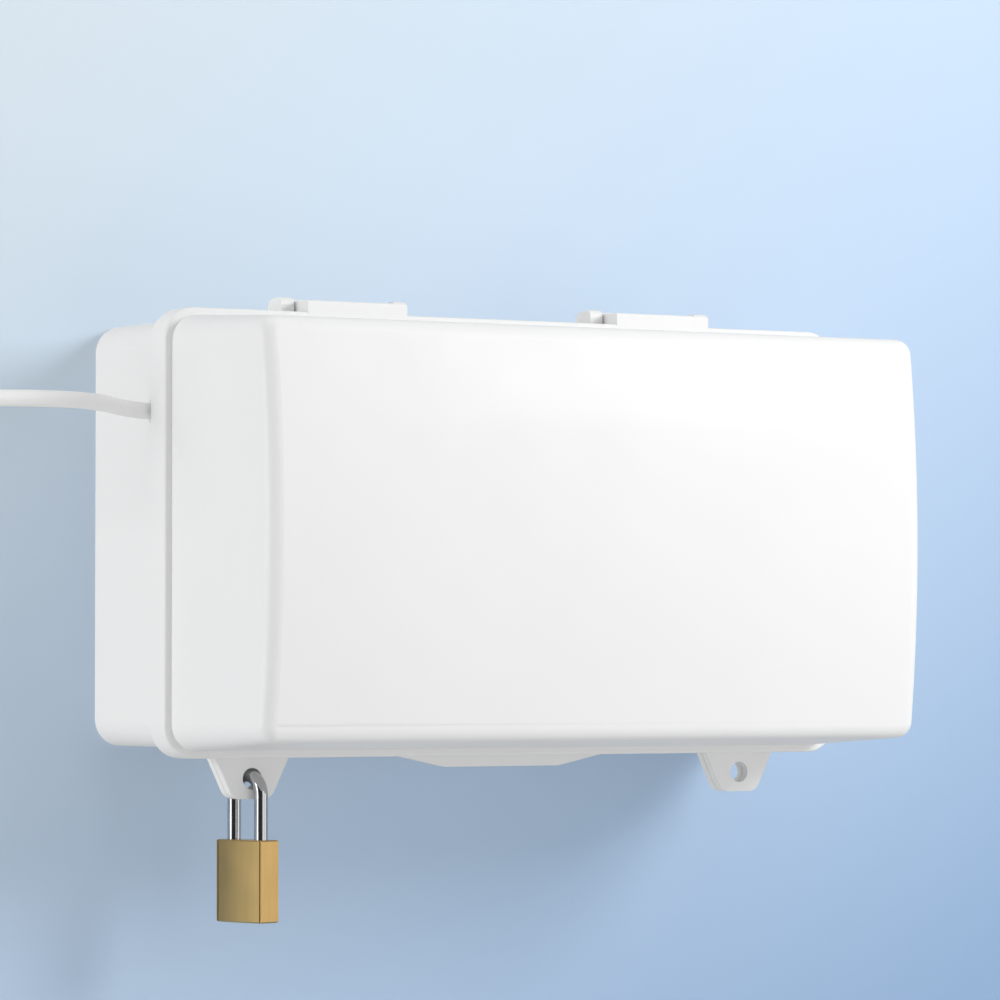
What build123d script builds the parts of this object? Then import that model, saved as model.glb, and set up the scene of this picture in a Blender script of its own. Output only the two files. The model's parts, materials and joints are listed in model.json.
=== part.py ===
"""A lockable weatherproof outlet box for a wall, with the outlet strip and the padlock it holds.

The origin is the centre of the back face, which lies on the wall.
+X is to the right seen from the front, +Y points into the wall and +Z is up.
Depths are distances out from the wall, so a depth of 58 is the plane y = -58.
"""
import os
from math import cos, hypot, radians, sin, sqrt, tan

from build123d import *

os.makedirs("parts", exist_ok=True)

# Overall sizes in millimetres
box_width = 320.0           # across the skirt of the cover
box_height = 178.0
box_depth = 144.0           # wall to the middle of the front panel
split_depth = 58.0          # wall to the rear edge of the skirt
skirt_depth = 12.0
skirt_corner = 13.0
skirt_wall = 2.4
ledge = 3.0                 # step from the skirt in to the cover's wall
cover_wall = 2.4
cover_corner = 6.2          # where its walls meet the front panel
cover_draft = 3.4           # degrees
front_bulge = 7.0           # crown of the front panel over the whole height
front_round = 6.0
edge_round = 1.2

# Base tray
base_inset = 4.2            # skirt's outer face to the tray's outer wall
base_corner = 11.0
base_wall = 2.5
base_floor = 3.0
rim_depth = 66.8            # wall to the top of the tray's rim
flange_depth = 59.4
flange_thick = 3.2
skirt_gap = 0.4             # flange to the inside of the skirt
seal_gap = 0.1
seal_height = 4.7
wall_hole_x_inset = 30.0    # skirt's outer face to the screw holes
wall_hole_z_inset = 27.0
wall_hole = 5.0
wall_pad = 15.0
wall_pad_height = 2.5
wall_pad_taper = 6          # degrees
back_round = 1.5

# Hinges
hinge_inset = 86.8          # skirt's side to the middle of a hinge
pin_depth = 54.2
pin_rise = 1.0              # pins above the top of the skirt
pin_dia = 3.6
pin_hold = 0.02             # pin to the ears that grip it
pin_run = 0.08              # pin to the knuckle that turns on it
knuckle_width = 45.2
knuckle_radius = 4.8
ear_width = 5.8
ear_reach = 5.6             # pin to the front and back of an ear
ear_rise = 5.8
ear_slope = 1.5             # fall of an ear's top towards the wall
ear_round = 3.0
ear_gap = 0.8
ear_notch = 0.6             # ear to the notch in the skirt around it
ear_cover = 1.5             # closed outer skin of the left ear
block_rise = 4.7            # top of the skirt to the top of a hinge block
block_round = 1.0

# Lock lugs, pull tab and catches along the bottom
lug_inset = 43.5            # skirt's side to the middle of a lug
lug_hole_drop = 8.3         # skirt's underside to the padlock hole
lug_hole = 8.6
lug_drop = 16.4
lug_top_width, lug_end_width = 33.0, 17.0
lug_corner = 5.5
cover_lug_thick = 4.0
base_lug_thick = 3.4
part_gap = 0.3              # between the two halves of a lug
tab_top_width, tab_end_width = 97.0, 54.0
tab_drop = 4.6
tab_thick = 3.6
tab_corner = 3.0
catch_inset = 76.5          # skirt's side to the middle of a catch
catch_width = 13.4
catch_drop = 0.3
catch_thick = 3.2

# Cable entry
cord_dia = 6.6
cord_depth = 53.5
cord_top = 40.7             # top of the skirt to the cable
grommet_neck = 9.0
grommet_lip = 10.4
grommet_lip_thick = 1.0
grommet_collar = 13.0
grommet_collar_thick = 3.0
grommet_fit = 0.03
cord_fit = 0.02

# Outlet strip
strip_gap = 6.3             # tray's right wall to the strip's ear
strip_height = 58.0
strip_corner = 7.0
strip_wall = 2.2
strip_stand = 3.0           # boss height under the strip
strip_back_deep = 12.0
strip_body_deep = 28.0
strip_round = 2.5
post_dia = 9.0
strip_ear = 11.0
strip_ear_width = 18.0
ear_thick = 3.0
cup_count = 4
cup_first = 27.0            # strip's left end to the first cup
cup_pitch = 45.0
cup_last = 62.0             # last cup to the strip's right end
cup_recess = 39.0
cup_deep = 17.5
cup_wall = 2.0
cup_floor = 2.5
cup_fit = 0.15
cup_proud = 0.6
cup_flange = 0.8
cup_flange_thick = 2.0
key_width, key_deep = 5.4, 2.2
pin_spacing = 19.0
pin_hole = 5.2
clip_width = 5.0
clip_thick = 0.8
clip_set = 1.0              # clip to the recess wall
clip_reach = 11.0
clip_slack = 0.2
bar_thick = 1.0
bar_width = 6.0
bar_rise = 6.0              # strip's floor to the line and neutral bars
earth_rise = 3.0            # those bars to the earth bar
sleeve_dia = 6.8
sleeve_bore = 4.9
rib_thick = 2.4
strip_screw = 2.8           # core of the screws that hold the strip
strip_screw_bite = 2.2      # how far they go into the tray's floor
screw_head, screw_head_thick = 6.4, 2.2
screw_fit = 0.5
case_screw_end, case_screw_side = 5.0, 8.0      # strip's ends and sides to the screws
case_screw_long = 11.0
screw_slot = 0.9
case_post = 6.4
boot_z, boot_depth = 15.0, 36.0
boot_neck, boot_collar, boot_end = 9.0, 12.0, 8.4
boot_collar_thick, boot_taper_long = 2.5, 6.0
boot_step = 1.0             # collar to the thick end of the boot's taper
lead_share = 0.3            # part of the room for the lead that each of its bends takes
lead_tail = 5.0

# Rocker switch
switch_from_right = 20.0
frame_length, frame_width = 25.0, 15.4
frame_lip, frame_lip_thick = 1.6, 1.5
frame_fit = 0.2
frame_deep = 13.0
rocker_length, rocker_width = 20.4, 12.0
rocker_tilt = 8.0
rocker_side = 0.4
rocker_end = 1.3
rocker_pin = 2.4
rocker_depth = 42.5          # wall to the rocker's pins
rocker_rise, rocker_dish, rocker_keel = 4.2, 1.6, 5.0
rocker_round = 0.6
frame_skin = 1.0

# Padlock
shackle_dia = 5.5
shackle_span = 15.5         # between the centres of its legs
shackle_turn = 15.0         # degrees its plane is turned from straight out
shackle_seat = 0.75         # shackle to the lug it hangs in
lock_drop, lock_height = 32.6, 32.8             # skirt's underside to the body, and the body
lock_width, lock_thick = 26.0, 11.4
lock_crown = 1.1
lock_groove = 0.7
lock_edge = 0.9
lock_chamfer = 0.5
leg_run = 0.06
long_leg, short_leg = 22.0, 6.5
leg_clear = 1.0
leg_chamfer = 0.6
plug_dia, plug_deep = 7.2, 20.0
keyway_width, keyway_height, keyway_deep = 1.4, 5.2, 15.0

# Where the supply cable goes: out of the grommet, level along the wall and back into it
cord_places = [             # left of the grommet, out from the wall, up from the grommet
    (0.0, 53.5, 0.0), (8.5, 53.5, 0.0), (25.5, 53.5, 3.5), (49.5, 53.5, 3.9), (74.5, 53.5, 3.3),
    (94.5, 53.5, 2.5), (113.2, 41.6, 1.9), (122.8, 21.8, 1.7), (122.8, 4.0, 1.7),
]
arc_share = 0.45            # part of a run that the arc at its end takes
bush_flange, bush_flange_thick = 22.0, 3.0
bush_collar, bush_collar_depth = 11.0, 7.0

# Sizes worked out from those above
ledge_depth = split_depth + skirt_depth
skirt_top = box_height / 2
base_width, base_height = box_width - 2 * base_inset, box_height - 2 * base_inset
wall_hole_x, wall_hole_z = box_width - 2 * wall_hole_x_inset, box_height - 2 * wall_hole_z_inset
flange_inset = skirt_wall + skirt_gap
flange_top = flange_depth + flange_thick
hinge_x = box_width / 2 - hinge_inset
pin_z, block_top = skirt_top + pin_rise, skirt_top + block_rise
lug_x = box_width / 2 - lug_inset
lug_z, lug_bottom = -skirt_top - lug_hole_drop, -skirt_top - lug_drop
catch_x = box_width / 2 - catch_inset
cord_z = skirt_top - cord_top
lip_x = -base_width / 2 - grommet_lip_thick
cord_route = [(lip_x - left, -depth, cord_z + up) for left, depth, up in cord_places]
strip_length = cup_first + cup_pitch * (cup_count - 1) + cup_last
strip_x = base_width / 2 - base_wall - strip_gap - strip_ear - strip_length / 2
strip_left = strip_x - strip_length / 2
strip_floor_depth = base_floor + strip_stand
strip_split = strip_floor_depth + strip_back_deep
strip_front = strip_split + strip_body_deep
cup_places = [strip_left + cup_first + cup_pitch * i for i in range(cup_count)]
boot_reach = boot_collar_thick + boot_taper_long
cup_mouth = strip_front + cup_proud
cup_bottom = cup_mouth - cup_deep - cup_floor
switch_x = strip_left + strip_length - switch_from_right
case_screw_x, case_screw_z = strip_length - 2 * case_screw_end, strip_height - 2 * case_screw_side
bar_depth = strip_floor_depth + strip_wall + bar_rise
earth_depth = bar_depth + earth_rise
ear_places = [(knuckle_width / 2 + ear_gap + ear_width / 2) * side for side in (-1, 1)]
hinge_places = {"left": -hinge_x, "right": hinge_x}
notch_radius = hypot(ear_reach - ear_round, ear_rise - ear_round) + ear_round + ear_notch
strip_posts = [(strip_x + side * (strip_length + strip_ear) / 2, 0) for side in (-1, 1)]
lug_mid_depth = split_depth + (cover_lug_thick - base_lug_thick - part_gap) / 2
lock_top = -skirt_top - lock_drop


def out(depth):
    """The plane at that distance from the wall, facing out, with x right and y up."""
    return Plane.XZ.offset(depth)


def across(x):
    """The plane at x, facing right, with its own x into the wall and y up."""
    return Plane.YZ.offset(x)


def cover_form(inset, start):
    """The cover's form in front of the skirt, drawn in by inset and starting at a depth."""
    grow = (ledge_depth - start) * tan(radians(cover_draft)) - ledge - inset
    crown = box_depth - inset
    edge = crown - front_bulge
    half = box_height / 2
    corner = cover_corner - inset + (box_depth - start) * tan(radians(cover_draft))
    with BuildPart() as form:
        with BuildSketch(out(start)):
            RectangleRounded(box_width + 2 * grow, box_height + 2 * grow, corner)
        extrude(amount=box_depth - start, taper=cover_draft)
        with BuildSketch(Plane.YZ):
            with BuildLine():
                ThreePointArc((-edge, half), (-crown, 0), (-edge, -half))
                Polyline((-edge, -half), (-start, -half), (-start, half), (-edge, half))
            make_face()
        extrude(amount=box_width, both=True, mode=Mode.INTERSECT)
        fillet(form.faces().sort_by(Axis.Y)[0].edges(), front_round - inset)
    return form.part


def ring(depth, thick, outer_inset, inner_inset, corner):
    """A rounded rectangular ring that runs round the box, given as insets from the skirt."""
    with BuildPart() as loop:
        with BuildSketch(out(depth)):
            for inset, mode in ((outer_inset, Mode.ADD), (inner_inset, Mode.SUBTRACT)):
                RectangleRounded(box_width - 2 * inset, box_height - 2 * inset,
                                 corner - inset + outer_inset, mode=mode)
        extrude(amount=thick)
    return loop.part


def lug_form(place, top, depth, thick):
    """A lock lug: a plate from a height down to its rounded end, with the padlock hole."""
    slope = (lug_top_width - lug_end_width) / 2 / lug_drop
    half_top = lug_top_width / 2 + slope * (top + skirt_top)
    half_end = lug_end_width / 2
    with BuildPart() as lug:
        with BuildSketch(out(depth)):
            with BuildLine():
                FilletPolyline((place - half_top, top), (place - half_end, lug_bottom),
                               (place + half_end, lug_bottom), (place + half_top, top),
                               radius=lug_corner)
                Line((place + half_top, top), (place - half_top, top))
            make_face()
            with Locations((place, lug_z)):
                Circle(lug_hole / 2, mode=Mode.SUBTRACT)
        extrude(amount=thick)
    return lug


def ear_outline():
    """Side view of a hinge ear from its foot in the tray's wall."""
    front, back = -pin_depth - ear_reach, -pin_depth + ear_reach
    foot, crest = base_height / 2 - base_wall / 2, pin_z + ear_rise
    with BuildSketch() as outline:
        with BuildLine():
            FilletPolyline((back, foot), (back, crest - ear_slope), (front, crest), (front, foot),
                           radius=ear_round)
            Line((front, foot), (back, foot))
        make_face()
    return outline.sketch


# Base tray: the tub on the wall, with its rim, flange, hinge ears and catches
with BuildPart() as base_tray:
    with BuildSketch(out(0)):
        RectangleRounded(base_width, base_height, base_corner)
    extrude(amount=rim_depth)
    fillet(base_tray.faces().sort_by(Axis.Y)[-1].edges(), back_round)
    with BuildSketch(out(base_floor)):
        RectangleRounded(base_width - 2 * base_wall, base_height - 2 * base_wall,
                         base_corner - base_wall)
    extrude(amount=rim_depth, mode=Mode.SUBTRACT)
    add(ring(flange_depth, flange_thick, flange_inset, base_inset + base_wall / 2,
             skirt_corner - flange_inset))
    for place in hinge_places.values():
        with BuildSketch(*[across(place + ear) for ear in ear_places]):
            add(ear_outline())
        extrude(amount=ear_width / 2, both=True)
        with BuildSketch(across(place + ear_places[0] - ear_width / 2 + ear_cover)):
            with Locations((-pin_depth, pin_z)):
                Circle(pin_dia / 2 + pin_hold)
        extrude(amount=knuckle_width + 2 * (ear_gap + ear_width), mode=Mode.SUBTRACT)
    with BuildSketch(out(split_depth - 2 * part_gap)):
        with Locations((-catch_x, -box_height / 2 - catch_drop), (catch_x, -box_height / 2 - catch_drop)):
            Rectangle(catch_width, base_inset + catch_drop + base_wall / 2, align=(Align.CENTER, Align.MIN))
    extrude(amount=-catch_thick)
    with BuildSketch(out(base_floor)):
        with GridLocations(wall_hole_x, wall_hole_z, 2, 2):
            Circle(wall_pad / 2)
    extrude(amount=wall_pad_height, taper=wall_pad_taper)
    with BuildSketch(out(base_floor)):
        with Locations(*strip_posts):
            Circle(post_dia / 2)
    extrude(amount=strip_stand)
    with BuildSketch(out(0)):
        with GridLocations(wall_hole_x, wall_hole_z, 2, 2):
            Circle(wall_hole / 2)
    extrude(amount=base_floor + wall_pad_height, mode=Mode.SUBTRACT)
    with BuildSketch(out(base_floor - strip_screw_bite)):
        with Locations(*strip_posts):
            Circle(strip_screw / 2)
    extrude(amount=strip_stand + strip_screw_bite, mode=Mode.SUBTRACT)
    with BuildSketch(Plane.YZ):
        with Locations((-cord_depth, cord_z)):
            Circle(grommet_neck / 2)
    extrude(amount=box_width, both=True, mode=Mode.SUBTRACT)

# Cover: the bulged shell with its skirt, hinge knuckles and pull tab
with BuildPart() as lid_cover:
    with BuildSketch(out(split_depth)):
        RectangleRounded(box_width, box_height, skirt_corner)
    extrude(amount=skirt_depth)
    fillet(lid_cover.faces().sort_by(Axis.Y)[0].edges(), edge_round)
    add(cover_form(0, ledge_depth))
    with BuildSketch(out(split_depth)):
        RectangleRounded(box_width - 2 * skirt_wall, box_height - 2 * skirt_wall,
                         skirt_corner - skirt_wall)
    extrude(amount=skirt_depth - skirt_wall, mode=Mode.SUBTRACT)
    add(cover_form(cover_wall, ledge_depth - skirt_wall), mode=Mode.SUBTRACT)
    for place in hinge_places.values():
        with BuildSketch(*[across(place + ear) for ear in ear_places]):
            with Locations((-pin_depth, pin_z)):
                Circle(notch_radius)
        extrude(amount=ear_width / 2 + ear_gap, both=True, mode=Mode.SUBTRACT)
        with BuildSketch(across(place)) as knuckle:
            with Locations((-pin_depth, pin_z)):
                Circle(knuckle_radius)
            with Locations((-pin_depth, block_top)):
                Rectangle(ledge_depth - pin_depth, block_top - box_height / 2 + skirt_wall,
                          align=(Align.MAX, Align.MAX))
            fillet(knuckle.vertices().sort_by(lambda corner: corner.Y - corner.X)[-1], block_round)
        extrude(amount=knuckle_width / 2, both=True)
    for place in hinge_places.values():
        with BuildSketch(across(place)):
            with Locations((-pin_depth, pin_z)):
                Circle(pin_dia / 2 + pin_run)
        extrude(amount=knuckle_width, both=True, mode=Mode.SUBTRACT)
    with BuildSketch(out(split_depth)):
        with BuildLine():
            tab_low = -box_height / 2 - tab_drop
            tab_high = -box_height / 2 + skirt_wall / 2
            tab_slope = (tab_top_width - tab_end_width) / 2 / tab_drop
            tab_reach = tab_top_width / 2 + tab_slope * skirt_wall / 2
            FilletPolyline((-tab_reach, tab_high), (-tab_end_width / 2, tab_low),
                           (tab_end_width / 2, tab_low), (tab_reach, tab_high), radius=tab_corner)
            Line((tab_reach, tab_high), (-tab_reach, tab_high))
        make_face()
    extrude(amount=tab_thick)

# Lock lugs in pairs, one of the tray and one of the cover at each side
lugs = {}
for name, place in (("left", -lug_x), ("right", lug_x)):
    lugs["tray_lug_" + name] = lug_form(place, -base_height / 2, split_depth - part_gap - base_lug_thick,
                                        base_lug_thick)
    lugs["cover_lug_" + name] = lug_form(place, -skirt_top, split_depth, cover_lug_thick)

# Rubber seal on the flange, pressed by the step inside the cover
with BuildPart() as rim_seal:
    add(ring(flange_top, seal_height, flange_inset + 2 * seal_gap, base_inset - seal_gap,
             skirt_corner - flange_inset))

# Hinge pins, each held in two ears of the tray
hinge_pins = {}
for name, place in hinge_places.items():
    with BuildPart() as pin:
        with BuildSketch(across(place + ear_places[0] - ear_width / 2 + ear_cover)):
            with Locations((-pin_depth, pin_z)):
                Circle(pin_dia / 2)
        extrude(amount=knuckle_width + 2 * (ear_gap + ear_width) - ear_cover - part_gap)
        chamfer(pin.edges().filter_by(GeomType.CIRCLE), part_gap)
    hinge_pins["hinge_pin_" + name] = pin


def grommet_form(side, bore):
    """A rubber grommet in a side wall: outer lip, neck through the wall and inner collar."""
    wall = base_width / 2
    with BuildPart() as grommet:
        for start, thick, size in ((wall, grommet_lip_thick, grommet_lip),
                                   (wall - base_wall, base_wall, grommet_neck - 2 * grommet_fit),
                                   (wall - base_wall - grommet_collar_thick, grommet_collar_thick,
                                    grommet_collar)):
            with BuildSketch(across(side * start)):
                with Locations((-cord_depth, cord_z)):
                    Circle(size / 2)
            extrude(amount=side * thick)
        chamfer(grommet.faces().sort_by(Axis.X)[0 if side > 0 else -1].edges(), grommet_collar_thick / 3)
        if bore:
            with BuildSketch(across(side * wall)):
                with Locations((-cord_depth, cord_z)):
                    Circle(cord_dia / 2 + cord_fit)
            extrude(amount=grommet_lip + base_wall, both=True, mode=Mode.SUBTRACT)
    return grommet


cable_grommet = grommet_form(-1, True)
blank_grommet = grommet_form(1, False)

# Outlet strip, rear half: a tray with ribs that carry the bars and an ear at each end
with BuildPart() as strip_back:
    with BuildSketch(out(strip_floor_depth)):
        with Locations((strip_x, 0)):
            RectangleRounded(strip_length, strip_height, strip_corner)
    extrude(amount=strip_back_deep)
    with BuildSketch(out(strip_floor_depth + strip_wall)):
        with Locations((strip_x, 0)):
            RectangleRounded(strip_length - 2 * strip_wall, strip_height - 2 * strip_wall,
                             strip_corner - strip_wall)
    extrude(amount=strip_back_deep, mode=Mode.SUBTRACT)
    with BuildSketch(out(strip_floor_depth)):
        with Locations((strip_x, 0)):
            SlotOverall(strip_length + 2 * strip_ear, strip_ear_width)
            Rectangle(strip_length - strip_wall, strip_height, mode=Mode.SUBTRACT)
        with Locations(*strip_posts):
            Circle(strip_screw / 2 + screw_fit, mode=Mode.SUBTRACT)
    extrude(amount=ear_thick)
    for rib_z, top in ((pin_spacing / 2, bar_depth), (-pin_spacing / 2, bar_depth), (0, earth_depth)):
        with BuildSketch(out(strip_floor_depth + strip_wall)):
            with Locations(((cup_places[0] + cup_places[-1]) / 2, rib_z)):
                Rectangle(cup_pitch * cup_count, rib_thick)
        extrude(amount=top - strip_floor_depth - strip_wall)
    with BuildSketch(out(strip_floor_depth)):
        with Locations((strip_x, 0)):
            with GridLocations(case_screw_x, case_screw_z, 2, 2):
                Circle(strip_screw / 2 + screw_fit / 2)
    extrude(amount=strip_back_deep, mode=Mode.SUBTRACT)

# Outlet strip, front half: a cover with the cup holes, the switch window and the cord's entry
with BuildPart() as strip_body:
    with BuildSketch(out(strip_split)):
        with Locations((strip_x, 0)):
            RectangleRounded(strip_length, strip_height, strip_corner)
    extrude(amount=strip_body_deep)
    fillet(strip_body.faces().sort_by(Axis.Y)[0].edges(), strip_round)
    with BuildSketch(out(strip_split)):
        with Locations((strip_x, 0)):
            RectangleRounded(strip_length - 2 * strip_wall, strip_height - 2 * strip_wall,
                             strip_corner - strip_wall)
    extrude(amount=strip_body_deep - strip_wall, mode=Mode.SUBTRACT)
    with BuildSketch(out(strip_split)):
        with Locations((strip_x, 0)):
            with GridLocations(case_screw_x, case_screw_z, 2, 2):
                Circle(case_post / 2)
                Circle(strip_screw / 2, mode=Mode.SUBTRACT)
    extrude(amount=case_screw_long)
    with BuildSketch(out(strip_split)):
        with Locations(*[(x, 0) for x in cup_places]):
            Circle(cup_recess / 2 + cup_wall + cup_fit)
        with Locations((switch_x, 0)):
            Rectangle(frame_length + 2 * frame_fit, frame_width + 2 * frame_fit)
    extrude(amount=strip_body_deep, mode=Mode.SUBTRACT)
    with BuildSketch(across(strip_left)):
        with Locations((-boot_depth, boot_z)):
            Circle(boot_neck / 2)
    extrude(amount=strip_wall, mode=Mode.SUBTRACT)

# The cups that the plugs go into
cups = []
for place in cup_places:
    with BuildPart() as cup:
        with BuildSketch(out(cup_bottom)):
            with Locations((place, 0)):
                Circle(cup_recess / 2 + cup_wall)
        extrude(amount=cup_mouth - cup_bottom)
        fillet(cup.faces().sort_by(Axis.Y)[0].edges(), cup_proud / 2)
        with BuildSketch(out(strip_front - strip_wall - cup_flange_thick)):
            with Locations((place, 0)):
                Circle(cup_recess / 2 + cup_wall + cup_flange)
        extrude(amount=cup_flange_thick)
        with BuildSketch(out(cup_mouth - cup_deep)):
            with Locations((place, 0)):
                Circle(cup_recess / 2)
                with Locations((0, cup_recess / 2), (0, -cup_recess / 2)):
                    Rectangle(key_width, 2 * key_deep, mode=Mode.SUBTRACT)
        extrude(amount=cup_deep, mode=Mode.SUBTRACT)
        with BuildSketch(out(cup_bottom)):
            with Locations((place, 0)):
                with GridLocations(pin_spacing, pin_spacing, 1, 2):
                    Circle(pin_hole / 2)
                with GridLocations(cup_recess - 2 * clip_set - clip_thick, 0, 2, 1):
                    Rectangle(clip_thick + 2 * clip_slack, clip_width + 2 * clip_slack)
        extrude(amount=cup_floor, mode=Mode.SUBTRACT)
    cups.append(cup)


def bar_form(height):
    """A brass bar along the strip with a sleeve behind each cup's pin hole."""
    with BuildPart() as bar:
        with BuildSketch(out(bar_depth)):
            with Locations(((cup_places[0] + cup_places[-1]) / 2, height)):
                Rectangle(cup_pitch * (cup_count - 1) + 2 * sleeve_dia, bar_width)
        extrude(amount=bar_thick)
        with BuildSketch(out(bar_depth)):
            with Locations(*[(x, height) for x in cup_places]):
                Circle(sleeve_dia / 2)
        extrude(amount=cup_bottom - bar_depth - part_gap)
        with BuildSketch(out(bar_depth + bar_thick)):
            with Locations(*[(x, height) for x in cup_places]):
                Circle(sleeve_bore / 2)
        extrude(amount=strip_body_deep, mode=Mode.SUBTRACT)
    return bar


line_bar = bar_form(pin_spacing / 2)
neutral_bar = bar_form(-pin_spacing / 2)

# Earth bar, with two sprung clips that stand in each cup
with BuildPart() as earth_bar:
    clip_x = cup_recess / 2 - clip_set - clip_thick / 2
    with BuildSketch(out(earth_depth)):
        with Locations(((cup_places[0] + cup_places[-1]) / 2, 0)):
            Rectangle(cup_places[-1] - cup_places[0] + 2 * clip_x + clip_thick, clip_width)
    extrude(amount=bar_thick)
    with BuildSketch(Plane.XY):
        for place in cup_places:
            for side in (-1, 1):
                with BuildLine():
                    foot = -earth_depth
                    bend = -(cup_mouth - cup_deep + clip_reach / 2)
                    tip = -(cup_mouth - cup_deep + clip_reach)
                    outer = place + side * (clip_x + clip_thick / 2)
                    inner = outer - side * clip_thick
                    Polyline((outer, foot), (outer, bend), (outer - side * clip_thick, tip),
                             (inner - side * clip_thick, tip), (inner, bend), (inner, foot), (outer, foot))
                make_face()
    extrude(amount=clip_width / 2, both=True)

# Switch frame, snapped into the strip, and the rocker that tips on its two stub pins
with BuildPart() as switch_frame:
    with BuildSketch(out(strip_front - frame_deep)):
        with Locations((switch_x, 0)):
            Rectangle(frame_length, frame_width)
    extrude(amount=frame_deep)
    with BuildSketch(out(strip_front)):
        with Locations((switch_x, 0)):
            RectangleRounded(frame_length + 2 * frame_lip, frame_width + 2 * frame_lip, frame_lip)
    extrude(amount=frame_lip_thick)
    fillet(switch_frame.faces().sort_by(Axis.Y)[0].edges(), frame_lip_thick / 3)
    with BuildSketch(out(strip_front - frame_deep + strip_wall)):
        with Locations((switch_x, 0)):
            Rectangle(rocker_length + 2 * rocker_end, rocker_width + 2 * rocker_side)
    extrude(amount=frame_deep + frame_lip_thick, mode=Mode.SUBTRACT)
    with BuildSketch(Plane.XY):
        with Locations((switch_x, -rocker_depth)):
            Circle(rocker_pin / 2 + pin_run)
    extrude(amount=frame_width / 2 - frame_skin, both=True, mode=Mode.SUBTRACT)

with BuildPart() as rocker_switch:
    tilt = radians(rocker_tilt)
    with BuildSketch(Plane((switch_x, -rocker_depth, 0), x_dir=(cos(tilt), sin(tilt), 0))):
        with BuildLine():
            half = rocker_length / 2
            high, low = -(rocker_rise + rocker_dish), rocker_keel
            Line((-half, high), (-half, 0))
            ThreePointArc((-half, 0), (0, low), (half, 0))
            Line((half, 0), (half, high))
            ThreePointArc((half, high), (0, high + rocker_dish), (-half, high))
        make_face()
    extrude(amount=rocker_width / 2, both=True)
    fillet(rocker_switch.faces().sort_by(Axis.Y)[0].edges(), rocker_round)
    with BuildSketch(Plane.XY):
        with Locations((switch_x, -rocker_depth)):
            Circle(rocker_pin / 2)
    extrude(amount=frame_width / 2 - frame_skin - part_gap, both=True)


def screws(places, seat, long, way):
    """Pan head screws with their heads' seat at a depth; way is 1 where they point at the wall."""
    with BuildPart() as group:
        with BuildSketch(out(seat)):
            with Locations(*places):
                Circle(strip_screw / 2)
        extrude(amount=-way * long)
        with BuildSketch(out(seat)):
            with Locations(*places):
                Circle(screw_head / 2)
        extrude(amount=way * screw_head_thick)
        crowns = group.faces().group_by(Axis.Y)[0 if way > 0 else -1]
        fillet(crowns.edges(), screw_head_thick / 2)
        with BuildSketch(out(seat + way * screw_head_thick / 2)):
            with Locations(*places):
                Rectangle(screw_head / 2, screw_slot)
                Rectangle(screw_slot, screw_head / 2)
        extrude(amount=way * screw_head_thick, mode=Mode.SUBTRACT)
    return group


strip_screws = screws(strip_posts, strip_floor_depth + ear_thick,
                      ear_thick + strip_stand + strip_screw_bite - part_gap, 1)
case_screws = screws([(strip_x + x, z) for x in (-case_screw_x / 2, case_screw_x / 2)
                      for z in (-case_screw_z / 2, case_screw_z / 2)],
                     strip_floor_depth, strip_back_deep + case_screw_long - part_gap, -1)

# Boot that holds the cable in the end of the strip
with BuildPart() as strip_boot:
    with BuildSketch(across(strip_left)):
        with Locations((-boot_depth, boot_z)):
            Circle(boot_neck / 2 - grommet_fit)
    extrude(amount=strip_wall)
    with BuildSketch(across(strip_left)):
        with Locations((-boot_depth, boot_z)):
            Circle(boot_collar / 2)
    extrude(amount=-boot_collar_thick)
    with BuildSketch(across(strip_left + strip_wall)):
        with Locations((-boot_depth, boot_z)):
            Circle(boot_collar / 2)
    extrude(amount=boot_collar_thick / 2)
    for reach, size in ((boot_collar_thick, boot_collar - boot_step), (boot_reach, boot_end)):
        with BuildSketch(across(strip_left - reach)):
            with Locations((-boot_depth, boot_z)):
                Circle(size / 2)
    loft()
    with BuildSketch(across(strip_left)):
        with Locations((-boot_depth, boot_z)):
            Circle(cord_dia / 2 + cord_fit)
    extrude(amount=2 * boot_reach, both=True, mode=Mode.SUBTRACT)


def cable(points, radii):
    """A round cable along straight runs joined by tangent arcs."""
    with BuildPart() as tube:
        with BuildLine() as line:
            path = FilletPolyline(*points, radius=radii)
        with BuildSketch(Plane(origin=path @ 0, z_dir=path % 0)):
            Circle(cord_dia / 2)
        sweep(path=line.line)
    return tube, path.length


# Free stretch of the supply cable
route = [Vector(*point) for point in cord_route]
runs = [b - a for a, b in zip(route, route[1:])]
cord_radii = []
for before, after in zip(runs, runs[1:]):
    half_turn = radians(before.get_angle(after)) / 2
    cord_radii.append(arc_share * min(before.length, after.length) / tan(half_turn))
supply_cord, cord_length = cable(route, cord_radii)
print("cable radii", [round(radius, 1) for radius in cord_radii], "length", round(cord_length, 1))

# Cable inside the box, from the grommet to the end of the strip
lead_start, lead_end = -base_width / 2 + base_wall + grommet_collar_thick, strip_left - boot_reach
lead_turn = lead_share * (lead_end - lead_start)
lead_points = [Vector(lip_x, -cord_depth, cord_z), Vector(lead_start + lead_turn, -cord_depth, cord_z),
               Vector(lead_end - lead_turn, -boot_depth, boot_z),
               Vector(strip_left + strip_wall + lead_tail, -boot_depth, boot_z)]
lead_angle = radians((lead_points[2] - lead_points[1]).get_angle(Vector(1, 0, 0)))
inner_lead, lead_length = cable(lead_points, lead_turn / tan(lead_angle / 2))
print("lead length", round(lead_length, 1))

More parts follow.
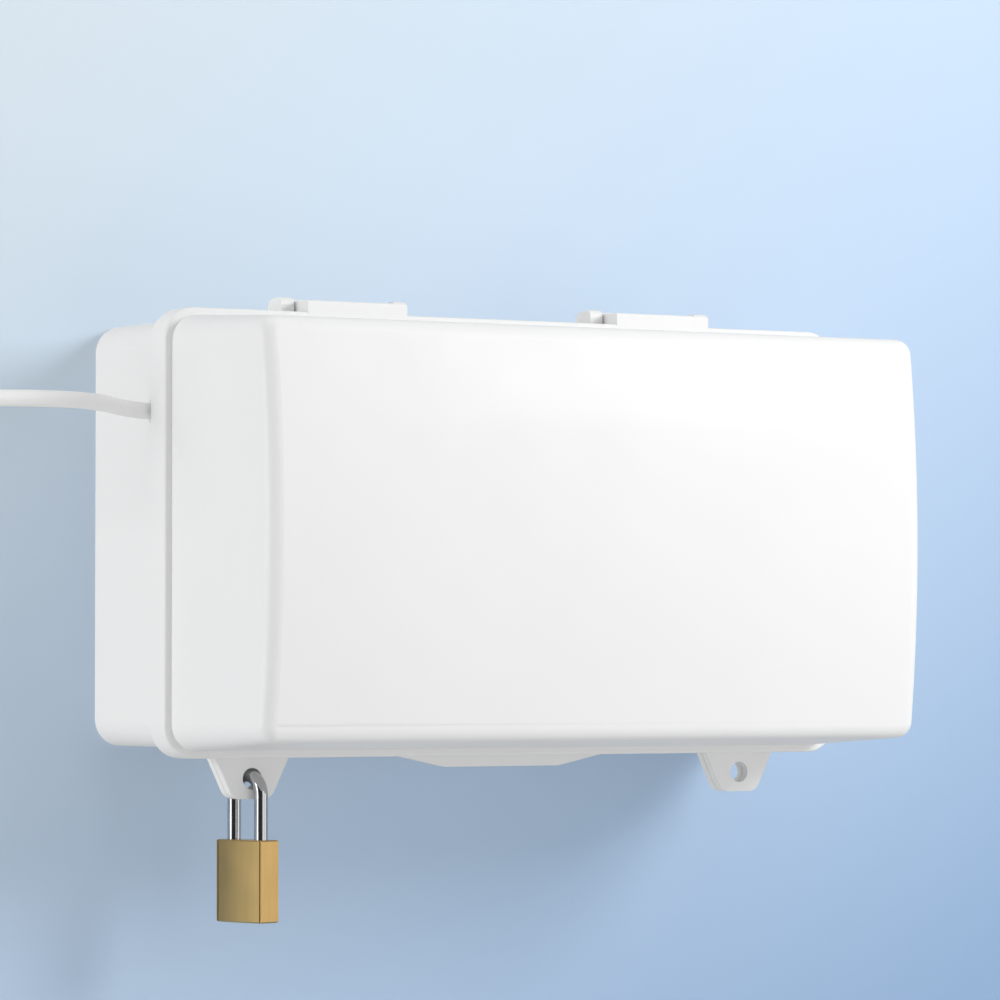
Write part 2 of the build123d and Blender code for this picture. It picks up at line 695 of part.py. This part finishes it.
# Bush in the wall that the cable goes into
cord_end = cord_route[-1]
with BuildPart() as wall_bush:
    for depth, thick, size in ((0, bush_flange_thick, bush_flange), (0, bush_collar_depth, bush_collar)):
        with BuildSketch(out(depth)):
            with Locations((cord_end[0], cord_end[2])):
                Circle(size / 2)
        extrude(amount=thick)
    fillet(wall_bush.edges().filter_by(GeomType.CIRCLE).filter_by(lambda edge: edge.center().Y < -1), 1)
    with BuildSketch(out(-cord_end[1])):
        with Locations((cord_end[0], cord_end[2])):
            Circle(cord_dia / 2 + cord_fit)
    extrude(amount=bush_collar_depth, mode=Mode.SUBTRACT)

# Padlock: the shackle hangs in the left lug, with its body below and the plug in the body's foot
turn = radians(shackle_turn)
hang_x, hang_n = (sin(turn), -cos(turn), 0), (-cos(turn), -sin(turn), 0)
arch = shackle_span / 2
lug_half = (cover_lug_thick + base_lug_thick + part_gap) / 2 / cos(turn)
arch_z = lug_z - lug_hole / 2 + shackle_seat - sqrt((arch - shackle_dia / 2) ** 2 - lug_half**2)
with BuildPart() as padlock_shackle:
    with BuildLine(Plane((-lug_x, -lug_mid_depth, arch_z), x_dir=hang_x, z_dir=hang_n)) as hoop:
        Line((-arch, lock_top - long_leg - arch_z), (-arch, 0))
        ThreePointArc((-arch, 0), (0, arch), (arch, 0))
        Line((arch, 0), (arch, lock_top - short_leg - arch_z))
    with BuildSketch(Plane(origin=hoop.line @ 0, z_dir=hoop.line % 0)):
        Circle(shackle_dia / 2)
    sweep(path=hoop.line)
    chamfer(padlock_shackle.edges().filter_by(GeomType.CIRCLE).group_by(Axis.Z)[0], leg_chamfer)

lock_plane = Plane((-lug_x, -lug_mid_depth, lock_top), x_dir=hang_x, z_dir=(0, 0, 1))
with BuildPart() as padlock_body:
    with BuildSketch(lock_plane):
        with BuildLine():
            half_x, half_y = lock_width / 2, lock_thick / 2 - lock_crown
            ThreePointArc((-half_x, half_y), (0, lock_thick / 2), (half_x, half_y))
            Line((half_x, half_y), (half_x, -half_y))
            ThreePointArc((half_x, -half_y), (0, -lock_thick / 2), (-half_x, -half_y))
            Line((-half_x, -half_y), (-half_x, half_y))
        make_face()
    extrude(amount=-lock_height)
    chamfer(padlock_body.faces().filter_by(Plane.XY).edges(), lock_chamfer)
    with BuildSketch(lock_plane):
        with GridLocations(lock_width - 2 * lock_edge, lock_thick - 2 * lock_crown, 2, 2):
            Circle(lock_groove / 2)
    extrude(amount=-lock_height, mode=Mode.SUBTRACT)
    for side, leg in ((-1, long_leg), (1, short_leg)):
        with BuildSketch(lock_plane):
            with Locations((side * arch, 0)):
                Circle(shackle_dia / 2 + leg_run)
        extrude(amount=-leg - leg_clear, mode=Mode.SUBTRACT)
    with BuildSketch(lock_plane.offset(-lock_height)):
        Circle(plug_dia / 2 + leg_run)
    extrude(amount=plug_deep + part_gap, mode=Mode.SUBTRACT)

with BuildPart() as lock_plug:
    with BuildSketch(lock_plane.offset(-lock_height)):
        Circle(plug_dia / 2)
    extrude(amount=plug_deep)
    with BuildSketch(lock_plane.offset(-lock_height)):
        Rectangle(keyway_width, keyway_height)
    extrude(amount=keyway_deep, mode=Mode.SUBTRACT)

# Names and files
pieces = {
    "base_tray": base_tray, "lid_cover": lid_cover, **lugs, "rim_seal": rim_seal, **hinge_pins,
    "cable_grommet": cable_grommet, "blank_grommet": blank_grommet,
    "strip_back": strip_back, "strip_body": strip_body,
    **{f"outlet_cup_{i + 1}": cup for i, cup in enumerate(cups)},
    "line_bar": line_bar, "neutral_bar": neutral_bar, "earth_bar": earth_bar,
    "switch_frame": switch_frame, "rocker_switch": rocker_switch,
    "strip_screws": strip_screws, "case_screws": case_screws, "strip_boot": strip_boot,
    "inner_lead": inner_lead, "supply_cord": supply_cord, "wall_bush": wall_bush,
    "padlock_shackle": padlock_shackle, "padlock_body": padlock_body, "lock_plug": lock_plug,
}
for name, piece in pieces.items():
    piece.part.label = name
    export_step(piece.part, f"parts/{name}.step")
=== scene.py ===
"""The looks of the weatherproof outlet box: finishes, the supply cable, the wall it hangs on and the light."""

import json
import math

import bpy
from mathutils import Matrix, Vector


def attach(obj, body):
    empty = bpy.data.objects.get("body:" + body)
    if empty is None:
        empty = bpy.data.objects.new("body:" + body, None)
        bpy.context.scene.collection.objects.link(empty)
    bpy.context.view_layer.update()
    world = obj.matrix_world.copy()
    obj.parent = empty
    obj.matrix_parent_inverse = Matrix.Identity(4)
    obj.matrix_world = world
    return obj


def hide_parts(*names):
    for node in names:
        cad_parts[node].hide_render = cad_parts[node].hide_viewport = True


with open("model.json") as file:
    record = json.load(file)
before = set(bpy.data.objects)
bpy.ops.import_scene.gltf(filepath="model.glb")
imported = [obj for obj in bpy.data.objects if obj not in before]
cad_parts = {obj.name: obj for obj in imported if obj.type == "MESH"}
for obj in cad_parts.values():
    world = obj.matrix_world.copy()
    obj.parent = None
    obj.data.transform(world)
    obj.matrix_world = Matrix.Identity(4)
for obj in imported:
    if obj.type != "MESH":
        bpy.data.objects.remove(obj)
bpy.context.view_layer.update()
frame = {"nodes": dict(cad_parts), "record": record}
nodes = frame["nodes"]

# Sizes and places are in metres. The back of the box is at y = 0, and its front faces -y.

# The supply cable. Its route leaves the grommet to the left, goes along the wall and turns into its bush.
CORD_DIAMETER = 0.0066
CORD_ROUTE = [
    (-0.1568, -0.0535, 0.0483), (-0.1653, -0.0535, 0.0483), (-0.1823, -0.0535, 0.0518),
    (-0.2063, -0.0535, 0.0522), (-0.2313, -0.0535, 0.0516), (-0.2513, -0.0535, 0.0508),
    (-0.2700, -0.0416, 0.0502), (-0.2796, -0.0218, 0.0500), (-0.2796, -0.0040, 0.0500),
]
CORD_STEPS_ROUND = 8
CORD_STEPS_ALONG = 16

# The camera: its place, its heading right of straight ahead, its tilt up and its lens
CAMERA_PLACE = (-1.0740, -1.8339, -0.0493)
CAMERA_HEADING = math.radians(31.19)
CAMERA_TILT = math.radians(1.79)
CAMERA_REACH = 50
SENSOR_MM = 36.0
FOCAL_PIXELS = 5052.4
PHOTO_PIXELS = 1000.0

# The wall and the floor
WALL_SIDE = 6.0
WALL_GAP = 0.0006        # keeps the wall clear of the back of the box
FLOOR_DROP = 0.9
# The wall's paint is pale blue. Its colour goes from deep to pale blue, up and to the left: painted light and
# shade, the fall-off of the light across the wall painted into its colour. Its shades, that direction, and where
# along it the change starts and ends, from the box's middle
WALL_FALLOFF_SHADES = [(0.0, (0.305, 0.450, 0.665)), (0.45, (0.537, 0.682, 0.868)), (1.0, (0.756, 0.857, 0.930))]
WALL_SLANT = (-0.592, 0, 0.806)
WALL_REACH = (-0.325, 0.298)
FLOOR_SHADE = (0.80, 0.80, 0.80)

# The dark card stands upright across the camera's view of the box, hidden from the camera and seen only in
# reflections: a painted dark reflection in the shiny parts, which casts no shadow. Its ends, foot and top
CARD_ENDS = [(-1.85, -0.73), (0.20, -1.97)]
CARD_FOOT = -0.88
CARD_TOP = 1.5
DARK_REFLECTION_SHADE = (0.03, 0.03, 0.03)

# Each lamp: its name, its place, the point that it is aimed at, the side of its square and its power in watts
BOX_MIDDLE = (0, -0.06, 0)
LAMPS = [
    ("key", (0.74, -1.04, 0.48), BOX_MIDDLE, 0.45, 7.85),
    ("front", (0.2, -1.3, -0.1), BOX_MIDDLE, 0.9, 2.2),
    ("low_right", (0.95, -0.95, -0.2), (-0.1, -0.07, -0.1), 0.5, 0.9),
    ("top", (0, -0.45, 1.4), BOX_MIDDLE, 1.0, 4.0),
    ("left", (-1.6, 0.16, 0.12), (-0.1, -0.06, 0), 0.9, 11.6),
    ("behind", (0.5, 1.8, 0.1), (0, 0, 0), 1.4, 14),
]
WORLD_STRENGTH = 0.42

# Finishes
SMOOTH_ANGLE = math.radians(32)        # an edge sharper than this stays sharp
NOISE_SPAN = (0.35, 0.65)        # most of a noise texture's values lie in here
ALONG_X = (0.05, 1, 1)        # stretches a texture into streaks along x
PLASTIC_IOR = 1.49
COAT_ROUGHNESS = 0.12
SHELL_WHITE = (0.880, 0.882, 0.880)
LOCK_BRASS = (0.51, 0.335, 0.130)
CHROME = (0.52, 0.52, 0.53)


def new_material(name, colour, roughness, metallic=0.0):
    """A material with a Principled shader set to plain values, for the finishes below to build on."""
    material = bpy.data.materials.new(name)
    material.use_nodes = True
    tree = material.node_tree
    shader = tree.nodes["Principled BSDF"]
    shader.inputs["Base Color"].default_value = (*colour, 1.0)
    shader.inputs["Roughness"].default_value = roughness
    shader.inputs["Metallic"].default_value = metallic
    return material, tree, shader


def noise(tree, scale, detail, stretch=(1, 1, 1)):
    """A noise texture in the object's own coordinates. A stretch under 1 draws it out along that axis."""
    place = tree.nodes.new("ShaderNodeTexCoord")
    mapping = tree.nodes.new("ShaderNodeMapping")
    mapping.inputs["Scale"].default_value = stretch
    texture = tree.nodes.new("ShaderNodeTexNoise")
    texture.inputs["Scale"].default_value = scale
    texture.inputs["Detail"].default_value = detail
    tree.links.new(place.outputs["Object"], mapping.inputs["Vector"])
    tree.links.new(mapping.outputs["Vector"], texture.inputs["Vector"])
    return texture.outputs["Fac"]


def ramp(tree, value, stops):
    """A colour ramp through the stops, each a place and a colour."""
    node = tree.nodes.new("ShaderNodeValToRGB")
    node.color_ramp.elements[0].position = stops[0][0]
    node.color_ramp.elements[1].position = stops[-1][0]
    node.color_ramp.elements[0].color = (*stops[0][1], 1)
    node.color_ramp.elements[1].color = (*stops[-1][1], 1)
    for place, colour in stops[1:-1]:
        node.color_ramp.elements.new(place).color = (*colour, 1)
    tree.links.new(value, node.inputs["Fac"])
    return node.outputs["Color"]


def tint(tree, shader, value, colour, change):
    """Lets the base colour go darker by that share, with a texture."""
    darker = tuple(c * (1 - change) for c in colour)
    low, high = NOISE_SPAN
    tree.links.new(ramp(tree, value, [(low, darker), (high, colour)]), shader.inputs["Base Color"])


def vary_roughness(tree, shader, value, roughness):
    """Lets the roughness run from its low to its high value with a texture."""
    remap = tree.nodes.new("ShaderNodeMapRange")
    remap.inputs["From Min"].default_value, remap.inputs["From Max"].default_value = NOISE_SPAN
    remap.inputs["To Min"].default_value, remap.inputs["To Max"].default_value = roughness
    tree.links.new(value, remap.inputs["Value"])
    tree.links.new(remap.outputs["Result"], shader.inputs["Roughness"])


def bump(tree, shader, value, strength, distance):
    """A bump of that depth in metres from a texture."""
    node = tree.nodes.new("ShaderNodeBump")
    node.inputs["Strength"].default_value = strength
    node.inputs["Distance"].default_value = distance
    tree.links.new(value, node.inputs["Height"])
    tree.links.new(node.outputs["Normal"], shader.inputs["Normal"])


def moulded_plastic(name, colour, roughness, grain=0.15, coat=0.0):
    """Moulded plastic: a fine even grain, with faint changes of shade and gloss across a panel. A coat gives
    it the smooth skin that catches a light along rounded edges."""
    material, tree, shader = new_material(name, colour, roughness[0])
    shader.inputs["IOR"].default_value = PLASTIC_IOR
    shader.inputs["Coat Weight"].default_value = coat
    shader.inputs["Coat Roughness"].default_value = COAT_ROUGHNESS
    tint(tree, shader, noise(tree, scale=14, detail=3), colour, change=0.012)
    vary_roughness(tree, shader, noise(tree, scale=45, detail=4), roughness)
    bump(tree, shader, noise(tree, scale=2600, detail=1), strength=grain, distance=0.00005)
    return material


def rubber(name, colour, roughness):
    """Soft rubber, matt and faintly mottled."""
    material, tree, shader = new_material(name, colour, roughness)
    tint(tree, shader, noise(tree, scale=160, detail=4), colour, change=0.08)
    bump(tree, shader, noise(tree, scale=1800, detail=2), strength=0.3, distance=0.00008)
    return material


def brushed_metal(name, colour, roughness, stretch):
    """Metal brushed along one axis: fine streaks in shade, gloss and height."""
    material, tree, shader = new_material(name, colour, roughness[0], metallic=1.0)
    streaks = noise(tree, scale=900, detail=3, stretch=stretch)
    tint(tree, shader, streaks, colour, change=0.12)
    vary_roughness(tree, shader, noise(tree, scale=400, detail=4, stretch=stretch), roughness)
    bump(tree, shader, streaks, strength=0.25, distance=0.00003)
    return material


def satin_brass(name):
    """Satin brass, a little cloudy, with the finest of streaks up its height."""
    material, tree, shader = new_material(name, LOCK_BRASS, roughness=0.22, metallic=1.0)
    tint(tree, shader, noise(tree, scale=700, detail=3, stretch=(1, 1, 0.06)), LOCK_BRASS, change=0.05)
    vary_roughness(tree, shader, noise(tree, scale=60, detail=3), roughness=(0.20, 0.25))
    return material


def bright_chrome(name):
    """Bright plating, with the faint smears that handling leaves."""
    material, tree, shader = new_material(name, CHROME, roughness=0.07, metallic=1.0)
    vary_roughness(tree, shader, noise(tree, scale=260, detail=5), roughness=(0.05, 0.16))
    bump(tree, shader, noise(tree, scale=700, detail=2), strength=0.05, distance=0.00003)
    return material


# A finish for each material slot of the record
FINISHES = {
    "white_shell": moulded_plastic("white_shell", SHELL_WHITE, (0.56, 0.64), coat=0.1),
    "seal": rubber("seal", (0.045, 0.046, 0.05), 0.7),
    "steel_pin": brushed_metal("steel_pin", (0.58, 0.59, 0.60), (0.22, 0.38), ALONG_X),
    "grommet": rubber("grommet", (0.74, 0.75, 0.76), 0.55),
    "strip_white": moulded_plastic("strip_white", (0.80, 0.80, 0.79), (0.32, 0.44), grain=0.25),
    "cup_white": moulded_plastic("cup_white", (0.76, 0.76, 0.75), (0.3, 0.4), grain=0.2),
    "contact_brass": brushed_metal("contact_brass", (0.78, 0.58, 0.28), (0.25, 0.4), ALONG_X),
    "earth_steel": brushed_metal("earth_steel", (0.66, 0.66, 0.65), (0.2, 0.35), ALONG_X),
    "rocker_grey": moulded_plastic("rocker_grey", (0.045, 0.048, 0.055), (0.28, 0.36), grain=0.2),
    "screw_steel": brushed_metal("screw_steel", (0.62, 0.62, 0.63), (0.22, 0.4), (1, 0.3, 1)),
    "cable_white": moulded_plastic("cable_white", (0.94, 0.94, 0.935), (0.36, 0.46), grain=0.3),
    "shackle_chrome": bright_chrome("shackle_chrome"),
    "lock_brass": satin_brass("lock_brass"),
    "plug_nickel": brushed_metal("plug_nickel", (0.64, 0.61, 0.54), (0.22, 0.36), (1, 1, 0.1)),
}


def finish_nodes():
    """Gives each CAD node its finish, with its round surfaces shaded smooth and its edges kept."""
    slots = {part["node"]: part["material_slot"] for part in frame["record"]["subparts"]}
    for name, node in nodes.items():
        node.data.materials.clear()
        node.data.materials.append(FINISHES[slots[name]])
        node.data.polygons.foreach_set("use_smooth", [True] * len(node.data.polygons))
        node.data.set_sharp_from_angle(angle=SMOOTH_ANGLE)


def build_cable():
    """The free stretch of the supply cable, along its route from the grommet to the wall bush."""
    curve = bpy.data.curves.new("supply_cable", "CURVE")
    curve.dimensions = "3D"
    curve.bevel_depth = CORD_DIAMETER / 2
    curve.bevel_resolution = CORD_STEPS_ROUND
    curve.resolution_u = CORD_STEPS_ALONG
    curve.use_fill_caps = True
    spline = curve.splines.new("NURBS")
    spline.points.add(len(CORD_ROUTE) - 1)
    for point, place in zip(spline.points, CORD_ROUTE):
        point.co = (*place, 1)
    spline.order_u = 3
    spline.use_endpoint_u = True
    cable = bpy.data.objects.new("supply_cable", curve)
    bpy.context.scene.collection.objects.link(cable)
    cable.data.materials.append(FINISHES["cable_white"])
    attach(cable, "base")
    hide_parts("supply_cord")


def show_in_front(tree, shader, seen=None):
    """Makes a sheet clear from behind, so that a view from there sees through it. With rays to be seen by, it
    is clear to all others too."""
    geometry = tree.nodes.new("ShaderNodeNewGeometry")
    front = tree.nodes.new("ShaderNodeMath")
    front.operation = "SUBTRACT"
    front.use_clamp = True
    front.inputs[0].default_value = 1.0
    if seen:
        tree.links.new(seen, front.inputs[0])
    tree.links.new(geometry.outputs["Backfacing"], front.inputs[1])
    clear = tree.nodes.new("ShaderNodeBsdfTransparent")
    mix = tree.nodes.new("ShaderNodeMixShader")
    tree.links.new(front.outputs["Value"], mix.inputs["Fac"])
    tree.links.new(clear.outputs["BSDF"], mix.inputs[1])
    tree.links.new(shader.outputs["BSDF"], mix.inputs[2])
    tree.links.new(mix.outputs["Shader"], tree.nodes["Material Output"].inputs["Surface"])


def wall_material():
    """Pale blue paint with painted light: lighter towards the upper left, as the fall-off of the light across the
    wall is painted into its colour. It shows in what the camera and shiny surfaces see, and it is clear from
    behind and to light, so that it doesn't tint the white box."""
    material, tree, shader = new_material("wall_paint_and_falloff", WALL_FALLOFF_SHADES[-1][1], roughness=0.9)
    shader.inputs["Specular IOR Level"].default_value = 0.1
    place = tree.nodes.new("ShaderNodeTexCoord")
    along = tree.nodes.new("ShaderNodeVectorMath")
    along.operation = "DOT_PRODUCT"
    along.inputs[1].default_value = WALL_SLANT
    tree.links.new(place.outputs["Object"], along.inputs[0])
    share = tree.nodes.new("ShaderNodeMapRange")
    share.inputs["From Min"].default_value, share.inputs["From Max"].default_value = WALL_REACH
    tree.links.new(along.outputs["Value"], share.inputs["Value"])
    # painted light: the ramp lightens the wall up and to the left, the fall-off of the light painted into its
    # colour
    tree.links.new(ramp(tree, share.outputs["Result"], WALL_FALLOFF_SHADES), shader.inputs["Base Color"])
    rays = tree.nodes.new("ShaderNodeLightPath")
    seen = rays.outputs["Is Camera Ray"]
    for kind in ("Is Glossy Ray", "Is Transmission Ray"):
        either = tree.nodes.new("ShaderNodeMath")
        either.operation = "MAXIMUM"
        tree.links.new(seen, either.inputs[0])
        tree.links.new(rays.outputs[kind], either.inputs[1])
        seen = either.outputs["Value"]
    show_in_front(tree, shader, seen)
    return material


def floor_material():
    """Pale grey paint, faintly uneven, and clear from below."""
    material, tree, shader = new_material("floor_paint", FLOOR_SHADE, roughness=0.8)
    tint(tree, shader, noise(tree, scale=3, detail=2), FLOOR_SHADE, change=0.03)
    show_in_front(tree, shader)
    return material


def stage_sheet(name, corners, material):
    """A flat sheet of the stage through four corners."""
    mesh = bpy.data.meshes.new(name)
    mesh.from_pydata(corners, [], [(0, 1, 2, 3)])
    mesh.materials.append(material)
    sheet = bpy.data.objects.new(name, mesh)
    bpy.context.scene.collection.objects.link(sheet)
    return sheet


def build_stage():
    """The wall that the box hangs on, a pale floor below, and a dark card that shows only in what is shiny: a
    painted dark reflection, which casts no shadow and takes no part in the other light."""
    half = WALL_SIDE / 2
    stage_sheet("wall", [(-half, WALL_GAP, -FLOOR_DROP), (half, WALL_GAP, -FLOOR_DROP),
                         (half, WALL_GAP, half), (-half, WALL_GAP, half)], wall_material())
    stage_sheet("floor", [(-half, -half, -FLOOR_DROP), (half, -half, -FLOOR_DROP),
                          (half, WALL_GAP, -FLOOR_DROP), (-half, WALL_GAP, -FLOOR_DROP)], floor_material())
    card_finish, _, _ = new_material("dark_reflection_sheet", DARK_REFLECTION_SHADE, roughness=0.9)
    card = stage_sheet("dark_card", [(x, y, CARD_FOOT) for x, y in CARD_ENDS]
                       + [(x, y, CARD_TOP) for x, y in reversed(CARD_ENDS)], card_finish)
    # painted reflection: the card is seen only by shiny surfaces, as dark reflections in them
    card.visible_camera = False
    card.visible_diffuse = False
    card.visible_transmission = False
    card.visible_shadow = False


def area_light(name, place, target, size, power):
    """A soft square lamp aimed at a point."""
    lamp = bpy.data.lights.new(name, "AREA")
    lamp.shape = "SQUARE"
    lamp.size = size
    lamp.energy = power
    holder = bpy.data.objects.new(name, lamp)
    holder.location = place
    holder.rotation_euler = (Vector(target) - Vector(place)).to_track_quat("-Z", "Y").to_euler()
    holder.visible_camera = False
    bpy.context.scene.collection.objects.link(holder)


def build_light():
    """Soft studio light: a key from the upper right, broad lamps in front and overhead, a weak one low on the
    right, a side light along the wall from the left, one behind the wall and a plain white world."""
    for lamp in LAMPS:
        area_light(*lamp)
    world = bpy.data.worlds.new("studio")
    world.use_nodes = True
    world.node_tree.nodes["Background"].inputs["Color"].default_value = (1, 1, 1, 1)
    world.node_tree.nodes["Background"].inputs["Strength"].default_value = WORLD_STRENGTH
    bpy.context.scene.world = world


def build_camera():
    """The photograph's viewpoint."""
    camera = bpy.data.cameras.new("camera")
    camera.sensor_fit = "HORIZONTAL"
    camera.sensor_width = SENSOR_MM
    camera.lens = FOCAL_PIXELS / PHOTO_PIXELS * SENSOR_MM
    camera.clip_end = CAMERA_REACH
    holder = bpy.data.objects.new("camera", camera)
    holder.location = CAMERA_PLACE
    flat = math.cos(CAMERA_TILT)
    ahead = Vector((math.sin(CAMERA_HEADING) * flat, math.cos(CAMERA_HEADING) * flat, math.sin(CAMERA_TILT)))
    holder.rotation_euler = ahead.to_track_quat("-Z", "Y").to_euler()
    bpy.context.scene.collection.objects.link(holder)
    bpy.context.scene.camera = holder


build_camera()
build_cable()
finish_nodes()
build_stage()
build_light()

bpy.context.scene.view_settings.view_transform = "Standard"
